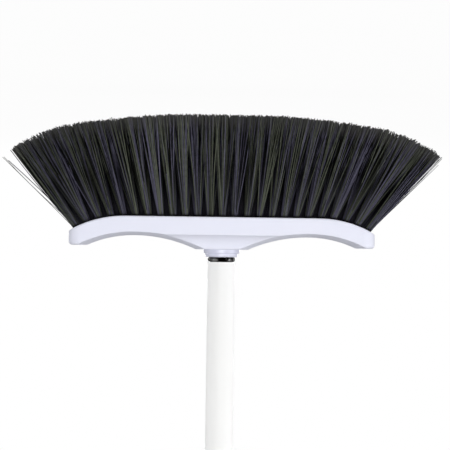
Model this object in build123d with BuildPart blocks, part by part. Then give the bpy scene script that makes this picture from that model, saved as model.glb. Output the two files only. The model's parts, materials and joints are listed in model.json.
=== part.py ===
from build123d import *
import os
from math import asin, cos, degrees, radians, sin, sqrt

# An angle broom: a moulded block with four rows of tufts, screwed onto a coated steel handle.
# Millimetres. +Z runs up the handle, +X along the block and -Y out of the block's front face.
# The origin is on the floor under the middle of the block, where the longest bristles touch.

# Driving dimensions of the handle
HANDLE_DIAMETER = 22.2
HANDLE_LENGTH = 1219.0
SLEEVE_WALL = 0.3
TUBE_WALL = 0.6
CAP_HEIGHT = 40.0
CAP_TONGUE_WIDTH = 19.0
CAP_TONGUE_THICKNESS = 9.0
CAP_SHOULDER_HEIGHT = 15.0
CAP_ROUND = 1.2
HANG_HOLE_DIAMETER = 9.0
PLUG_LENGTH = 30.0
PLUG_CLEARANCE = 0.05
PLUG_CHAMFER = 1.0

# Driving dimensions of the block
BLOCK_LENGTH = 242.0
BLOCK_DEPTH = 50.0
BLOCK_CORNER = 10.0
EDGE_ROUND = 1.5
FOOT_ROUND = 2.8
FACE_FLAT_HALF = 76.0
FACE_END_RADIUS = 87.0
FOOT_HEIGHT = 23.4
HUB_HEIGHT = 25.7
HUB_HALF_LENGTH = 40.0
HUB_TOP_DEPTH = 35.0
ARCH_CENTRE = 70.0
ARCH_WAIST = 12.4
ARCH_CROWN = 2.7
ARCH_OUTER_RADIUS = 91.5
ARCH_OUTER_FLARE = 2.7
ARCH_INNER_RADIUS = 118.0
ARCH_INNER_FLARE = 57.0
ARCH_REACH = 30.0
ARCH_LID = 8.0
CREASE_HEIGHT = 14.2

# Driving dimensions of the threaded joint
THREAD_PITCH = 5.08
THREAD_CORE_RADIUS = 7.0
THREAD_CREST_RADIUS = 9.45
THREAD_CREST_WIDTH = 1.6
THREAD_ROOT_WIDTH = 2.9
THREAD_TURNS = 2.75
THREAD_PLAY = 0.42
THREAD_SUNK = 0.5
GROOVE_TURNS = 6
GROOVE_LEAD_TURNS = 2
TIP_LENGTH = 20.0
BUSH_RADIUS = 11.9
BUSH_DEPTH = 17.5
BUSH_PLAY = 0.05
FLANGE_DIAMETER = 29.2
FLANGE_HEIGHT = 3.1
FLANGE_ROUND = 0.6
LIP_DIAMETER = 26.4
LIP_HEIGHT = 2.4
RIM_DIAMETER = 24.2
RIM_HEIGHT = 0.6
WASHER_HEIGHT = 3.6
WASHER_DIAMETER = 22.0
WASHER_BORE = 19.4
WASHER_LAND = 0.2
WASHER_GAP = 0.1
NECK_CLEARANCE = 0.3

# Driving dimensions of the tufts
TRIM_LENGTH = 80.0
SWEEP_RADIUS = 740.0
SWEEP_HALF = 117.0
SWEEP_CORNER_RADIUS = 116.5
FLOOR_CUT = 0.5
TUFT_PITCH = 9.6
TUFTS_IN_LONG_ROW = 25
ROW_PITCH = 10.5
STRIP_DEPTH = 4.0
STRIP_INSET = 3.0
FAN_RATE = 0.205
FAN_END_FLARE = 13.8
FAN_END_POWER = 6
DEPTH_FLARE = 1.5
STRAND_ROOT_WIDTH = 1.8
STRAND_TIP_WIDTH = 2.4
STRAND_ROOT_OFFSET = 1.3
STRAND_SUNK = 1.0
STAPLE_LENGTH = 5.4
STAPLE_HEIGHT = 2.0
STAPLE_THICKNESS = 0.45

# How close an edge lies to a level to be chosen by it
NEAR = 0.01

# Levels up the Z axis, worked out from the dimensions above
FACE_Z = TRIM_LENGTH
FOOT_Z = FACE_Z + FOOT_HEIGHT
HUB_Z = FACE_Z + HUB_HEIGHT
CREASE_Z = FACE_Z + CREASE_HEIGHT
FLANGE_Z = HUB_Z + FLANGE_HEIGHT
LIP_Z = FLANGE_Z + LIP_HEIGHT
RIM_Z = LIP_Z + RIM_HEIGHT
WASHER_Z = RIM_Z + WASHER_GAP
TUBE_Z = WASHER_Z + WASHER_HEIGHT + WASHER_GAP
CAP_Z = TUBE_Z + HANDLE_LENGTH - CAP_HEIGHT
TOP_Z = TUBE_Z + HANDLE_LENGTH
HANG_HOLE_Z = TOP_Z - CAP_TONGUE_WIDTH / 2
TIP_Z = WASHER_Z - TIP_LENGTH
THREAD_Z = TIP_Z + THREAD_ROOT_WIDTH
GROOVE_Z = THREAD_Z - GROOVE_LEAD_TURNS * THREAD_PITCH
BUSH_Z = HUB_Z - BUSH_DEPTH

# Radii of the handle's layers
SLEEVE_RADIUS = HANDLE_DIAMETER / 2
TUBE_RADIUS = SLEEVE_RADIUS - SLEEVE_WALL
BORE_RADIUS = TUBE_RADIUS - TUBE_WALL
PLUG_RADIUS = BORE_RADIUS - PLUG_CLEARANCE
NECK_RADIUS = WASHER_BORE / 2 - NECK_CLEARANCE

# The runs along the tuft face from the middle to the last tuft and to the block's end
END_RUN = TUFT_PITCH * (TUFTS_IN_LONG_ROW - 1) / 2
BLOCK_END_RUN = FACE_FLAT_HALF + FACE_END_RADIUS * asin(
    (BLOCK_LENGTH / 2 - FACE_FLAT_HALF) / FACE_END_RADIUS
)

# Each row's place across the block and its count of tufts, staggered from row to row
ROWS = {
    "front": (-1.5 * ROW_PITCH, TUFTS_IN_LONG_ROW),
    "inner_front": (-0.5 * ROW_PITCH, TUFTS_IN_LONG_ROW - 1),
    "inner_back": (0.5 * ROW_PITCH, TUFTS_IN_LONG_ROW),
    "back": (1.5 * ROW_PITCH, TUFTS_IN_LONG_ROW - 1),
}


def face_point(run, depth=0.0):
    """The place in XZ at a run along the tuft face, that deep in the block, and the face's turn there."""
    side = 1 if run >= 0 else -1
    beyond = abs(run) - FACE_FLAT_HALF
    if beyond <= 0:
        return run, FACE_Z + depth, 0.0
    turn = beyond / FACE_END_RADIUS
    radius = FACE_END_RADIUS - depth
    x = FACE_FLAT_HALF + radius * sin(turn)
    z = FACE_Z + FACE_END_RADIUS - radius * cos(turn)
    return side * x, z, side * degrees(turn)


END_X = face_point(END_RUN)[0]

# The trim line is a wide arc that dips just under the floor, run on at each end by a tighter tangent arc
SWEEP_Z = SWEEP_RADIUS - FLOOR_CUT
SWEEP_TURN = asin(SWEEP_HALF / SWEEP_RADIUS)
CORNER_X = (SWEEP_RADIUS - SWEEP_CORNER_RADIUS) * sin(SWEEP_TURN)
CORNER_Z = SWEEP_Z - (SWEEP_RADIUS - SWEEP_CORNER_RADIUS) * cos(SWEEP_TURN)


def reach_to_arc(x, z, lean, centre_x, centre_z, radius):
    """How far a line that leans out and down runs before it meets an arc of the trim line."""
    along = (x - centre_x) * sin(lean) - (z - centre_z) * cos(lean)
    inside = (x - centre_x) ** 2 + (z - centre_z) ** 2 - radius**2
    return sqrt(along**2 - inside) - along


def tip_point(run, y):
    """The trimmed end of the bristle that leaves the face at a run and a depth across the block."""
    x, z, turn = face_point(abs(run))
    lean = radians(FAN_RATE * x + FAN_END_FLARE * (x / END_X) ** FAN_END_POWER)
    length = reach_to_arc(x, z, lean, 0.0, SWEEP_Z, SWEEP_RADIUS)
    if x + length * sin(lean) > SWEEP_HALF:
        length = reach_to_arc(x, z, lean, CORNER_X, CORNER_Z, SWEEP_CORNER_RADIUS)
    side = 1 if run >= 0 else -1
    return Vector(side * (x + length * sin(lean)), y * DEPTH_FLARE, z - length * cos(lean))


def tuft_runs(count):
    """The runs of a row's tufts, evenly spaced about the middle."""
    return [TUFT_PITCH * (i - (count - 1) / 2) for i in range(count)]


def face_outline(half_run, depth):
    """Draws the tuft face's line at a depth in the block, between two equal runs."""
    beyond = degrees((half_run - FACE_FLAT_HALF) / FACE_END_RADIUS)
    radius = FACE_END_RADIUS - depth
    centre_z = FACE_Z + FACE_END_RADIUS
    Line((-FACE_FLAT_HALF, FACE_Z + depth), (FACE_FLAT_HALF, FACE_Z + depth))
    right = CenterArc((FACE_FLAT_HALF, centre_z), radius, 270, beyond)
    left = CenterArc((-FACE_FLAT_HALF, centre_z), radius, 270, -beyond)
    return left @ 1, right @ 1


def strip_section(plane):
    """The cross-section, seen from the front, of the strips that hold the bristles' roots."""
    half_run = END_RUN + STRIP_INSET
    with BuildSketch(plane) as section:
        with BuildLine():
            low_left, low_right = face_outline(half_run, 0.0)
            high_left, high_right = face_outline(half_run, STRIP_DEPTH)
            Line(low_left, high_left)
            Line(low_right, high_right)
        make_face()
    return section.sketch


def arch_outline(depth, side):
    """Draws the hollow between hub and foot at a depth: two arcs that meet at the waist, under a flat lid."""
    edge_share = (2 * depth / BLOCK_DEPTH) ** 2
    waist_z = FACE_Z + ARCH_WAIST + ARCH_CROWN * (1 - edge_share)
    rise = HUB_Z + ARCH_LID - waist_z
    inner_radius = ARCH_INNER_RADIUS + ARCH_INNER_FLARE * edge_share
    outer_radius = ARCH_OUTER_RADIUS + ARCH_OUTER_FLARE * edge_share
    ends = []
    for radius, away in ((inner_radius, -1), (outer_radius, 1)):
        turn = degrees(asin(sqrt(radius**2 - (radius - rise) ** 2) / radius))
        centre = (side * ARCH_CENTRE, waist_z + radius)
        ends.append(CenterArc(centre, radius, 270, side * away * turn) @ 1)
    Line(ends[0], ends[1])


def screw_form(low_z, high_z, start_z, turns, play):
    """A round core with a helical ridge: the tip's screw, or with play, the room that it runs in."""
    slope = (THREAD_ROOT_WIDTH - THREAD_CREST_WIDTH) / (THREAD_CREST_RADIUS - THREAD_CORE_RADIUS) / 2
    inner = THREAD_CORE_RADIUS - THREAD_SUNK
    outer = THREAD_CREST_RADIUS + play
    inner_half = THREAD_CREST_WIDTH / 2 + slope * (THREAD_CREST_RADIUS - inner) + play
    outer_half = THREAD_CREST_WIDTH / 2 - slope * play + play
    with BuildPart() as form:
        with BuildSketch(Plane.XY.offset(low_z)):
            Circle(THREAD_CORE_RADIUS + play)
        extrude(amount=high_z - low_z)
        with BuildLine() as helix:
            Helix(THREAD_PITCH, turns * THREAD_PITCH, THREAD_CREST_RADIUS, center=(0, 0, start_z))
        with BuildSketch(Plane.XZ):
            with BuildLine():
                Polyline(
                    (inner, start_z - inner_half),
                    (outer, start_z - outer_half),
                    (outer, start_z + outer_half),
                    (inner, start_z + inner_half),
                    close=True,
                )
            make_face()
        sweep(path=helix.line, is_frenet=True)
    return form.part


# Room in the tuft face for the four strips, with a rim left all round
with BuildPart() as strip_room:
    extrude(strip_section(Plane.XZ), amount=2 * ROW_PITCH, both=True)
    with BuildSketch(Plane.XY):
        RectangleRounded(
            BLOCK_LENGTH - 2 * STRIP_INSET, BLOCK_DEPTH - 2 * STRIP_INSET, BLOCK_CORNER - STRIP_INSET
        )
    extrude(amount=HUB_Z, mode=Mode.INTERSECT)

# Block: bowed tuft face below, two arches, two feet and a hub above
with BuildPart() as block:
    with BuildSketch(Plane.XZ):
        with BuildLine():
            face_left, face_right = face_outline(BLOCK_END_RUN, 0.0)
            Polyline(
                face_right,
                (BLOCK_LENGTH / 2, FOOT_Z),
                (HUB_HALF_LENGTH, FOOT_Z),
                (HUB_HALF_LENGTH, HUB_Z),
                (-HUB_HALF_LENGTH, HUB_Z),
                (-HUB_HALF_LENGTH, FOOT_Z),
                (-BLOCK_LENGTH / 2, FOOT_Z),
                face_left,
            )
        make_face()
    extrude(amount=BLOCK_DEPTH / 2, both=True)
    with BuildSketch(Plane.XY):
        RectangleRounded(BLOCK_LENGTH, BLOCK_DEPTH, BLOCK_CORNER)
    extrude(amount=HUB_Z, mode=Mode.INTERSECT)

    # The tuft face's outline is rounded, but not the seams where its flat meets its bowed ends
    level_edges = block.edges().filter_by(Axis.Z, reverse=True)
    low_edges = level_edges.filter_by_position(Axis.Z, 0, FOOT_Z - EDGE_ROUND)
    bow_seams = low_edges.filter_by(Axis.Y).filter_by_position(Axis.X, -END_X, END_X)
    fillet(low_edges - bow_seams, EDGE_ROUND)

    # The feet's tops are rounded, but not the seams where they meet the hub
    foot_edges = block.edges().filter_by_position(Axis.Z, FOOT_Z - NEAR, FOOT_Z + NEAR)
    hub_seams = foot_edges.filter_by_position(Axis.X, -HUB_HALF_LENGTH - NEAR, HUB_HALF_LENGTH + NEAR)
    fillet(foot_edges - hub_seams, FOOT_ROUND)

    # Each arch's floor is crowned, highest at the middle of the block's depth, most of all at the hub
    for side in (1, -1):
        for depth in (-ARCH_REACH, 0.0, ARCH_REACH):
            with BuildSketch(Plane.XZ.offset(depth)):
                with BuildLine():
                    arch_outline(depth, side)
                make_face()
        loft(mode=Mode.SUBTRACT)

    # The hub draws in from a crease on each face to a narrower top
    for facing in (1, -1):
        with BuildSketch(Plane.YZ):
            with BuildLine():
                start = (facing * BLOCK_DEPTH / 2, CREASE_Z)
                end = (facing * HUB_TOP_DEPTH / 2, HUB_Z)
                TangentArc(end, start, tangent=(0, -1))
                Polyline(start, (facing * BLOCK_DEPTH, CREASE_Z), (facing * BLOCK_DEPTH, HUB_Z), end)
            make_face()
        extrude(amount=ARCH_CENTRE, both=True, mode=Mode.SUBTRACT)
    hub_top = block.faces().filter_by(Axis.Z).sort_by(Axis.Z)[-1]
    fillet(hub_top.edges(), EDGE_ROUND)

    with BuildSketch(Plane.XY.offset(BUSH_Z - BUSH_PLAY)):
        Circle(BUSH_RADIUS + BUSH_PLAY)
    extrude(amount=HUB_Z, mode=Mode.SUBTRACT)
    add(strip_room.part, mode=Mode.SUBTRACT)


def staple_places(y, count):
    """Where each tuft's staple meets the back of the strip, turned with the face."""
    places = []
    for run in tuft_runs(count):
        x, z, turn = face_point(run, STRIP_DEPTH)
        places.append(Location((x, y, z), (0, -turn, 0)))
    return places


def strand(run, along, y, across):
    """One strand of a tuft, a square bar from its root in the strip to the trim line."""
    x, z, turn = face_point(run + along * STRAND_ROOT_OFFSET, STRAND_SUNK)
    root = Vector(x, y + across * STRAND_ROOT_OFFSET, z)
    tip = tip_point(run + along * TUFT_PITCH / 4, y + across * ROW_PITCH / 4)
    ends = []
    for place, width in ((root, STRAND_ROOT_WIDTH), (tip, STRAND_TIP_WIDTH)):
        with BuildSketch(Plane(place, x_dir=(1, 0, 0), z_dir=tip - root), mode=Mode.PRIVATE) as end:
            Rectangle(width, width)
        ends.append(end.sketch.face())
    return loft(ends, ruled=True, mode=Mode.PRIVATE)


def bristle_row(y, count):
    """One row of tufts, each of four strands, fused to the strip of the block that holds their roots."""
    sides = (-1, 1)
    strands = [
        strand(run, along, y, across) for run in tuft_runs(count) for along in sides for across in sides
    ]
    with BuildPart() as row:
        extrude(strip_section(Plane.XZ.offset(-y)), amount=ROW_PITCH / 2, both=True)
        add(strip_room.part, mode=Mode.INTERSECT)
        with Locations(*staple_places(y, count)):
            Box(STAPLE_LENGTH, STAPLE_THICKNESS, 2 * STAPLE_HEIGHT, mode=Mode.SUBTRACT)
        add(strands)
        with BuildSketch(Plane.XY):
            Rectangle(BLOCK_LENGTH, 2 * BLOCK_DEPTH)
        extrude(amount=-TRIM_LENGTH, mode=Mode.SUBTRACT)
    return row.part


def staple_row(y, count):
    """A row of flat wire staples, each driven into the back of the strip behind its tuft."""
    with BuildPart() as row:
        with Locations(*staple_places(y, count)):
            Box(
                STAPLE_LENGTH,
                STAPLE_THICKNESS,
                STAPLE_HEIGHT,
                align=(Align.CENTER, Align.CENTER, Align.MAX),
            )
    return row.part


bristle_rows = {name: bristle_row(*row) for name, row in ROWS.items()}
staple_rows = {name: staple_row(*row) for name, row in ROWS.items()}

# Socket bush: a threaded sleeve pressed into the hub, with the stepped flange that shows
screw_room = screw_form(
    GROOVE_Z - THREAD_PITCH,
    GROOVE_Z + (GROOVE_TURNS + 1) * THREAD_PITCH,
    GROOVE_Z,
    GROOVE_TURNS,
    THREAD_PLAY,
)
with BuildPart() as socket_bush:
    with BuildSketch(Plane.XZ):
        with BuildLine():
            Polyline(
                (0, BUSH_Z),
                (BUSH_RADIUS, BUSH_Z),
                (BUSH_RADIUS, HUB_Z),
                (FLANGE_DIAMETER / 2, HUB_Z),
                (FLANGE_DIAMETER / 2, FLANGE_Z),
                (LIP_DIAMETER / 2, FLANGE_Z),
                (LIP_DIAMETER / 2, LIP_Z),
                (RIM_DIAMETER / 2, RIM_Z),
                (0, RIM_Z),
                close=True,
            )
        make_face()
    revolve(axis=Axis.Z)
    flange_edges = socket_bush.edges().filter_by(GeomType.CIRCLE).filter_by_position(
        Axis.Z, FLANGE_Z - NEAR, FLANGE_Z + NEAR
    )
    fillet(flange_edges.sort_by(SortBy.RADIUS)[-1], FLANGE_ROUND)
    add(screw_room, mode=Mode.SUBTRACT)

# Lock washer: a rubber ring with a round outer face, between the bush and the tube's end
with BuildPart() as lock_washer:
    with BuildSketch(Plane.XZ):
        with BuildLine():
            low = (WASHER_BORE / 2 + WASHER_LAND, WASHER_Z)
            bulge = (WASHER_DIAMETER / 2, WASHER_Z + WASHER_HEIGHT / 2)
            high = (WASHER_BORE / 2 + WASHER_LAND, WASHER_Z + WASHER_HEIGHT)
            ThreePointArc(low, bulge, high)
            bore_top = (WASHER_BORE / 2, WASHER_Z + WASHER_HEIGHT)
            bore_foot = (WASHER_BORE / 2, WASHER_Z)
            Polyline(high, bore_top, bore_foot, low)
        make_face()
    revolve(axis=Axis.Z)

# Threaded tip: the plug in the tube, the neck in the washer and the screw
screw = screw_form(TIP_Z, WASHER_Z, THREAD_Z, THREAD_TURNS, 0.0)
with BuildPart() as threaded_tip:
    add(screw)
    with BuildSketch(Plane.XZ):
        with BuildLine():
            Polyline(
                (0, WASHER_Z),
                (NECK_RADIUS, WASHER_Z),
                (NECK_RADIUS, TUBE_Z),
                (PLUG_RADIUS, TUBE_Z),
                (PLUG_RADIUS, TUBE_Z + PLUG_LENGTH - PLUG_CHAMFER),
                (PLUG_RADIUS - PLUG_CHAMFER, TUBE_Z + PLUG_LENGTH),
                (0, TUBE_Z + PLUG_LENGTH),
                close=True,
            )
        make_face()
    revolve(axis=Axis.Z)

# Handle tube: thin steel, open at both ends
with BuildPart() as handle_tube:
    with BuildSketch(Plane.XY.offset(TUBE_Z)):
        Circle(TUBE_RADIUS)
        Circle(BORE_RADIUS, mode=Mode.SUBTRACT)
    extrude(amount=CAP_Z - TUBE_Z)

# Handle sleeve: the white vinyl coat shrunk on the tube
with BuildPart() as handle_sleeve:
    with BuildSketch(Plane.XY.offset(TUBE_Z)):
        Circle(SLEEVE_RADIUS)
        Circle(TUBE_RADIUS, mode=Mode.SUBTRACT)
    extrude(amount=CAP_Z - TUBE_Z)

# Hang cap: a plug in the tube's upper end, a round shoulder and a flat tongue with a hole
with BuildPart() as hang_cap:
    with BuildSketch(Plane.XZ):
        with Locations((0, HANG_HOLE_Z)):
            Circle(CAP_TONGUE_WIDTH / 2)
        with Locations((0, CAP_Z)):
            Rectangle(CAP_TONGUE_WIDTH, HANG_HOLE_Z - CAP_Z, align=(Align.CENTER, Align.MIN))
    extrude(amount=CAP_TONGUE_THICKNESS / 2, both=True)
    face_edges = hang_cap.edges().filter_by(Plane.XZ)
    fillet(face_edges.filter_by_position(Axis.Z, CAP_Z + CAP_ROUND, TOP_Z), CAP_ROUND)
    with BuildSketch(Plane.XY.offset(CAP_Z - PLUG_LENGTH)):
        Circle(PLUG_RADIUS)
    extrude(amount=PLUG_LENGTH)
    with BuildSketch(Plane.XZ):
        with BuildLine():
            Polyline(
                (0, CAP_Z + CAP_SHOULDER_HEIGHT),
                (0, CAP_Z),
                (SLEEVE_RADIUS, CAP_Z),
                (SLEEVE_RADIUS, CAP_Z + CAP_SHOULDER_HEIGHT / 2),
            )
            EllipticalCenterArc(
                (0, CAP_Z + CAP_SHOULDER_HEIGHT / 2), SLEEVE_RADIUS, CAP_SHOULDER_HEIGHT / 2, arc_size=90
            )
        make_face()
    revolve(axis=Axis.Z)
    with BuildSketch(Plane.XZ):
        with Locations((0, HANG_HOLE_Z)):
            Circle(HANG_HOLE_DIAMETER / 2)
    extrude(amount=SLEEVE_RADIUS, both=True, mode=Mode.SUBTRACT)

pieces = {
    "block": block.part,
    "socket_bush": socket_bush.part,
    "lock_washer": lock_washer.part,
    "threaded_tip": threaded_tip.part,
    "handle_tube": handle_tube.part,
    "handle_sleeve": handle_sleeve.part,
    "hang_cap": hang_cap.part,
}
for name in ROWS:
    pieces["bristles_" + name] = bristle_rows[name]
    pieces["staples_" + name] = staple_rows[name]

os.makedirs("parts", exist_ok=True)
for name, piece in pieces.items():
    piece.label = name
    export_step(piece, "parts/" + name + ".step")
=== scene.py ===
# %% [markdown]
# # An angle broom, dressed for a studio picture
#
# The broom was built first as solids: a moulded block with two arches, a threaded bush, a washer, a coated
# handle and four rows of tufts. This lesson loads those solids as a fixed frame and gives each one its
# finish. The tufts are the soft part of a broom, so their plain strands are swapped for thousands of fine
# filaments that Geometry Nodes grow from the same roots to the same trim line.

# %% Load the frame
import json
import random
from math import asin, cos, pi, radians, sin, sqrt
from typing import NamedTuple

import bpy
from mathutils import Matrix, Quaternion, Vector


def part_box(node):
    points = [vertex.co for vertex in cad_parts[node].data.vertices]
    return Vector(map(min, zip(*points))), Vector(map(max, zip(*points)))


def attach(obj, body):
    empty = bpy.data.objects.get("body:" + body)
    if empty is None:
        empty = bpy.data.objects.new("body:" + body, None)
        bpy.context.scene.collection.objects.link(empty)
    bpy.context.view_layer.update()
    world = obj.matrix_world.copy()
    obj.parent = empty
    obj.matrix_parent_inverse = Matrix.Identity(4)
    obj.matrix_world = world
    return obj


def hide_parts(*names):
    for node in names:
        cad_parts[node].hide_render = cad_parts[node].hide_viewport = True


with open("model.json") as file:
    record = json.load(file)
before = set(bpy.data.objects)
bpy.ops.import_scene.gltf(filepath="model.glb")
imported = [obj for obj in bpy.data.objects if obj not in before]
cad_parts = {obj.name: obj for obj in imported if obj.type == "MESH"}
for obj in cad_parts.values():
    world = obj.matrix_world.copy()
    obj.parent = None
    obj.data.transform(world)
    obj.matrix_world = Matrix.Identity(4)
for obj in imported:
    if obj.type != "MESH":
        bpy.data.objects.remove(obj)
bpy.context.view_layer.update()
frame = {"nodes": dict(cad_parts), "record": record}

# %% [markdown]
# ## Nodes as Python
#
# A finish is a small sum: a colour plus some noise, a roughness minus some wear. Node by node, such a sum
# fills pages, so a socket is wrapped in a class that knows how to add, subtract and multiply. Each operator
# adds one Math node. Every other node comes from one method, which takes its type, its settings and what
# its sockets are fed. The same two classes serve the shader trees and the geometry trees.

# %% Wires
class Wire:
    """An output socket. Sums on it add Math nodes to its board."""

    def __init__(self, board, socket):
        self.board = board
        self.socket = socket

    def out(self, name):
        """Another output of the same node."""
        return Wire(self.board, self.board.pick(self.socket.node.outputs, name))

    def math(self, operation, first, second=0.0):
        return self.board.node("ShaderNodeMath", {"operation": operation}, {0: first, 1: second})

    def __add__(self, other):
        return self.math("ADD", self, other)

    def __sub__(self, other):
        return self.math("SUBTRACT", self, other)

    def __rsub__(self, other):
        return self.math("SUBTRACT", other, self)

    def __mul__(self, other):
        return self.math("MULTIPLY", self, other)

    def __truediv__(self, other):
        return self.math("DIVIDE", self, other)

    def __mod__(self, other):
        return self.math("MODULO", self, other)

    def __pow__(self, other):
        return self.math("POWER", self, other)

    def __gt__(self, other):
        return self.math("GREATER_THAN", self, other)

    def __abs__(self):
        return self.math("ABSOLUTE", self)

    def at_least(self, other):
        return self.math("MAXIMUM", self, other)

    def at_most(self, other):
        return self.math("MINIMUM", self, other)

    def floor(self):
        return self.math("FLOOR", self)

    def cosine(self):
        return self.math("COSINE", self)

    def sine(self):
        return self.math("SINE", self)

    __radd__ = __add__
    __rmul__ = __mul__


# %% Boards
class Board:
    """A node tree, and the one method that adds a node to it."""

    def __init__(self, tree):
        self.tree = tree

    def pick(self, sockets, key):
        """A socket by its place, its identifier or its name."""
        if isinstance(key, int):
            return sockets[key]
        by_identifier = [s for s in sockets if s.identifier == key]
        by_name = [s for s in sockets if s.name == key]
        return (by_identifier + by_name)[0]

    def node(self, kind, settings=None, sockets=None, output=0):
        """Adds a node, sets it, feeds its sockets and gives back one of its outputs."""
        made = self.tree.nodes.new(kind)
        for name, value in (settings or {}).items():
            setattr(made, name, value)
        for key, value in (sockets or {}).items():
            socket = self.pick(made.inputs, key)
            if isinstance(value, Wire):
                self.tree.links.new(value.socket, socket)
            else:
                socket.default_value = value
        return Wire(self, self.pick(made.outputs, output)) if len(made.outputs) else None

    def vector(self, operation, first, second):
        return self.node("ShaderNodeVectorMath", {"operation": operation}, {0: first, 1: second})

    def scaled(self, vector, factor):
        return self.node("ShaderNodeVectorMath", {"operation": "SCALE"}, {0: vector, "Scale": factor})

    def combine(self, **parts):
        """A vector from its X, Y and Z. Those left out are 0."""
        return self.node("ShaderNodeCombineXYZ", {}, parts)

    def split(self, vector):
        """A vector's X, with its Y and Z as the node's other outputs."""
        return self.node("ShaderNodeSeparateXYZ", {}, {0: vector})

    def place(self):
        """Object coordinates, in metres."""
        return self.node("ShaderNodeTexCoord", {}, {}, "Object")

    def stretched(self, place, scale):
        return self.node("ShaderNodeMapping", {}, {"Vector": place, "Scale": scale})

    def noise(self, place, scale, detail=2.0, roughness=0.5):
        """Smooth noise with about this many lumps to the metre."""
        sockets = {"Vector": place, "Scale": scale, "Detail": detail, "Roughness": roughness}
        return self.node("ShaderNodeTexNoise", {}, sockets)

    def between(self, value, low, high):
        """0 below low, 1 above high and smooth in between."""
        sockets = {"Value": value, "From Min": low, "From Max": high}
        return self.node("ShaderNodeMapRange", {"interpolation_type": "SMOOTHSTEP"}, sockets)

    def level(self, share, first, second):
        """A number between two numbers."""
        return first + (second - first) * share

    def blend(self, share, first, second):
        """A colour between two colours, each a wire or its red, green and blue."""
        a, b = [c if isinstance(c, Wire) else (*c, 1.0) for c in (first, second)]
        sockets = {"Factor_Float": share, "A_Color": a, "B_Color": b}
        return self.node("ShaderNodeMix", {"data_type": "RGBA"}, sockets, "Result_Color")


# %% The start and the end of a finish
def new_finish(name):
    """A material and its empty board."""
    material = bpy.data.materials.new(name)
    material.use_nodes = True
    material.node_tree.nodes.clear()
    return material, Board(material.node_tree)


def close_finish(name, colour, roughness, height=None, depth=0.0, **others):
    """A Principled shader, bumped by a height where one is given, with its other sockets set or fed."""
    board = colour.board
    sockets = {"Base Color": colour, "Roughness": roughness, **others}
    if height is not None:
        sockets["Normal"] = board.node("ShaderNodeBump", {}, {"Height": height, "Distance": depth})
    surface = board.node("ShaderNodeBsdfPrincipled", {}, sockets)
    board.node("ShaderNodeOutputMaterial", {}, {"Surface": surface})
    print("finish", name, "has", len(board.tree.nodes), "nodes")


# %% [markdown]
# ## Moulded plastic for the block and the bush
#
# The block is injection moulded polypropylene in a cool white. Up close such a surface has three things:
# a very fine grain from the tool, slow clouds of colour where the melt cooled unevenly, and a sheen that
# changes where hands and shelves have rubbed it. A flat colour has none of these and reads as paper. All
# three are noise on object coordinates, so they stay put on the piece. The bush is a deeper and glossier
# moulding, so that its round collar catches a highlight down its middle.

# %% Moulded plastic
CLOUD_SCALE = 28.0
RUB_SCALE = 90.0
TOOL_GRAIN_SCALE = 2200.0
RUB_DULLING = 0.16
GRAIN_DULLING = 0.06


def moulded_plastic(name, cool, warm, sheen, gloss, grain_depth):
    material, board = new_finish(name)
    place = board.place()
    clouds = board.noise(place, CLOUD_SCALE, detail=3.0)
    rubbed = board.noise(place, RUB_SCALE, detail=4.0, roughness=0.6)
    grain = board.noise(place, TOOL_GRAIN_SCALE, roughness=0.6)
    colour = board.blend(clouds, cool, warm)
    roughness = sheen + RUB_DULLING * rubbed + GRAIN_DULLING * grain
    close_finish(name, colour, roughness, grain, grain_depth, **{"Specular IOR Level": gloss})
    return material


block_plastic = moulded_plastic(
    "block_plastic",
    cool=(0.795, 0.81, 0.925),
    warm=(0.825, 0.835, 0.935),
    sheen=0.46,
    gloss=0.06,
    grain_depth=0.00006,
)
bush_plastic = moulded_plastic(
    "bush_plastic",
    cool=(0.60, 0.61, 0.74),
    warm=(0.625, 0.635, 0.75),
    sheen=0.30,
    gloss=1.0,
    grain_depth=0.00002,
)

# %% [markdown]
# ## The screw tip and the hang cap
#
# Two black mouldings, two sheens: the tip is glossy, and the cap has a spark-eroded matt face that hides
# finger marks. They share one recipe: a near black that dust pales in places, a roughness that drifts with
# it, and a grain whose depth sets how broken the highlight is.

# %% Black mouldings
DUST_SCALE = 160.0
DUST_EDGE = (0.45, 0.8)
DUST_PALING = 1.9
SHEEN_LEAST = 0.8
SHEEN_DRIFT = 0.4


def black_moulding(name, tint, sheen, gloss, grain_scale, grain_depth):
    material, board = new_finish(name)
    place = board.place()
    dust = board.noise(place, DUST_SCALE, detail=4.0, roughness=0.65)
    grain = board.noise(place, grain_scale)
    dusty = tuple(DUST_PALING * c for c in tint)
    colour = board.blend(board.between(dust, *DUST_EDGE), tint, dusty)
    roughness = sheen * (SHEEN_LEAST + SHEEN_DRIFT * dust)
    close_finish(name, colour, roughness, grain, grain_depth, **{"Specular IOR Level": gloss})
    return material


tip_plastic = black_moulding(
    "tip_plastic",
    tint=(0.0028, 0.0028, 0.0024),
    sheen=0.18,
    gloss=0.08,
    grain_scale=1200.0,
    grain_depth=0.00001,
)
cap_plastic = black_moulding(
    "cap_plastic",
    tint=(0.012, 0.012, 0.013),
    sheen=0.50,
    gloss=0.30,
    grain_scale=2600.0,
    grain_depth=0.00008,
)

# %% [markdown]
# ## The rubber washer
#
# The washer between the collar and the tube is black rubber under patches of a thin, shiny film. Bare
# rubber swallows the light, and the film gives it back: the photograph shows a black middle with a glint to
# each side. One gloss for the whole ring would grey it all over. So the film is a coat with a weight of its
# own, patchy noise that only starts some way out from the middle.

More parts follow.
